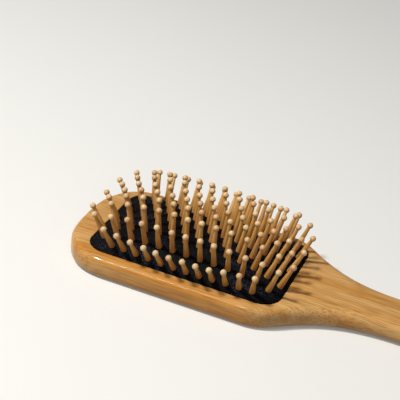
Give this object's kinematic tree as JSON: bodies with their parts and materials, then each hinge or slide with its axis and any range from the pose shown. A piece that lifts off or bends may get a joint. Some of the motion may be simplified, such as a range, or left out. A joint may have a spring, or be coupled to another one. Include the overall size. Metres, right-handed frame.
{
  "type": "paddle brush",
  "caption": "Flat bamboo paddle hair brush with a domed black rubber cushion and ball-tipped wooden pins in staggered rows.",
  "frame": {"origin": "underside of the paddle, at the middle of the whole length and width", "axes": "+X along the length towards the end of the grip, +Z out of the face that carries the pins, brush lying on its back"},
  "size_m": [0.25, 0.0852, 0.0383],
  "materials": {
    "bamboo": "lacquered bamboo, satin with a soft sheen",
    "rubber": "matte, finely textured",
    "pin_wood": "turned and polished, paler at the ball"
  },
  "bodies": {
    "paddle": {"bamboo_paddle": "bamboo"},
    "cushion": {"rubber_cushion": "rubber"},
    "pin_row_a": {"pins_a1": "pin_wood", "pins_a2": "pin_wood", "pins_a3": "pin_wood", "pins_a4": "pin_wood"},
    "pin_row_b": {"pins_b1": "pin_wood", "pins_b2": "pin_wood", "pins_b3": "pin_wood", "pins_b4": "pin_wood"},
    "pin_row_c": {"pins_c1": "pin_wood", "pins_c2": "pin_wood", "pins_c3": "pin_wood", "pins_c4": "pin_wood"},
    "pin_row_d": {"pins_d1": "pin_wood", "pins_d2": "pin_wood", "pins_d3": "pin_wood", "pins_d4": "pin_wood"},
    "pin_row_e": {"pins_e1": "pin_wood", "pins_e2": "pin_wood", "pins_e3": "pin_wood", "pins_e4": "pin_wood"},
    "pin_row_f": {"pins_f1": "pin_wood", "pins_f2": "pin_wood", "pins_f3": "pin_wood", "pins_f4": "pin_wood"},
    "pin_row_g": {"pins_g1": "pin_wood", "pins_g2": "pin_wood", "pins_g3": "pin_wood", "pins_g4": "pin_wood"},
    "pin_row_h": {"pins_h1": "pin_wood", "pins_h2": "pin_wood", "pins_h3": "pin_wood", "pins_h4": "pin_wood"},
    "pin_row_i": {"pins_i1": "pin_wood", "pins_i2": "pin_wood", "pins_i3": "pin_wood", "pins_i4": "pin_wood"}
  },
  "joints": [
    {"name": "cushion_press", "type": "slide", "parent": "paddle", "child": "cushion", "axis": [0, 0, 1], "range_m": [-0.003, 0], "stiffness_N_per_m": 2000, "deforming": ["rubber_cushion"]},
    {"name": "row_a_tilt", "type": "hinge", "parent": "cushion", "child": "pin_row_a", "pos_m": [-0.0577, -0.03135, 0.01299], "axis": [1, 0, 0], "range_deg": [-7, 7], "stiffness_Nm_per_rad": 0.12},
    {"name": "row_b_tilt", "type": "hinge", "parent": "cushion", "child": "pin_row_b", "pos_m": [-0.0577, -0.024, 0.01724], "axis": [1, 0, 0], "range_deg": [-7, 7], "stiffness_Nm_per_rad": 0.12},
    {"name": "row_c_tilt", "type": "hinge", "parent": "cushion", "child": "pin_row_c", "pos_m": [-0.0577, -0.016, 0.01908], "axis": [1, 0, 0], "range_deg": [-7, 7], "stiffness_Nm_per_rad": 0.12},
    {"name": "row_d_tilt", "type": "hinge", "parent": "cushion", "child": "pin_row_d", "pos_m": [-0.0577, -0.008, 0.01953], "axis": [1, 0, 0], "range_deg": [-7, 7], "stiffness_Nm_per_rad": 0.12},
    {"name": "row_e_tilt", "type": "hinge", "parent": "cushion", "child": "pin_row_e", "pos_m": [-0.0577, 0, 0.01956], "axis": [1, 0, 0], "range_deg": [-7, 7], "stiffness_Nm_per_rad": 0.12},
    {"name": "row_f_tilt", "type": "hinge", "parent": "cushion", "child": "pin_row_f", "pos_m": [-0.0577, 0.008, 0.01953], "axis": [1, 0, 0], "range_deg": [-7, 7], "stiffness_Nm_per_rad": 0.12},
    {"name": "row_g_tilt", "type": "hinge", "parent": "cushion", "child": "pin_row_g", "pos_m": [-0.0577, 0.016, 0.01908], "axis": [1, 0, 0], "range_deg": [-7, 7], "stiffness_Nm_per_rad": 0.12},
    {"name": "row_h_tilt", "type": "hinge", "parent": "cushion", "child": "pin_row_h", "pos_m": [-0.0577, 0.024, 0.01724], "axis": [1, 0, 0], "range_deg": [-7, 7], "stiffness_Nm_per_rad": 0.12},
    {"name": "row_i_tilt", "type": "hinge", "parent": "cushion", "child": "pin_row_i", "pos_m": [-0.0577, 0.03135, 0.01299], "axis": [1, 0, 0], "range_deg": [-7, 7], "stiffness_Nm_per_rad": 0.12}
  ]
}
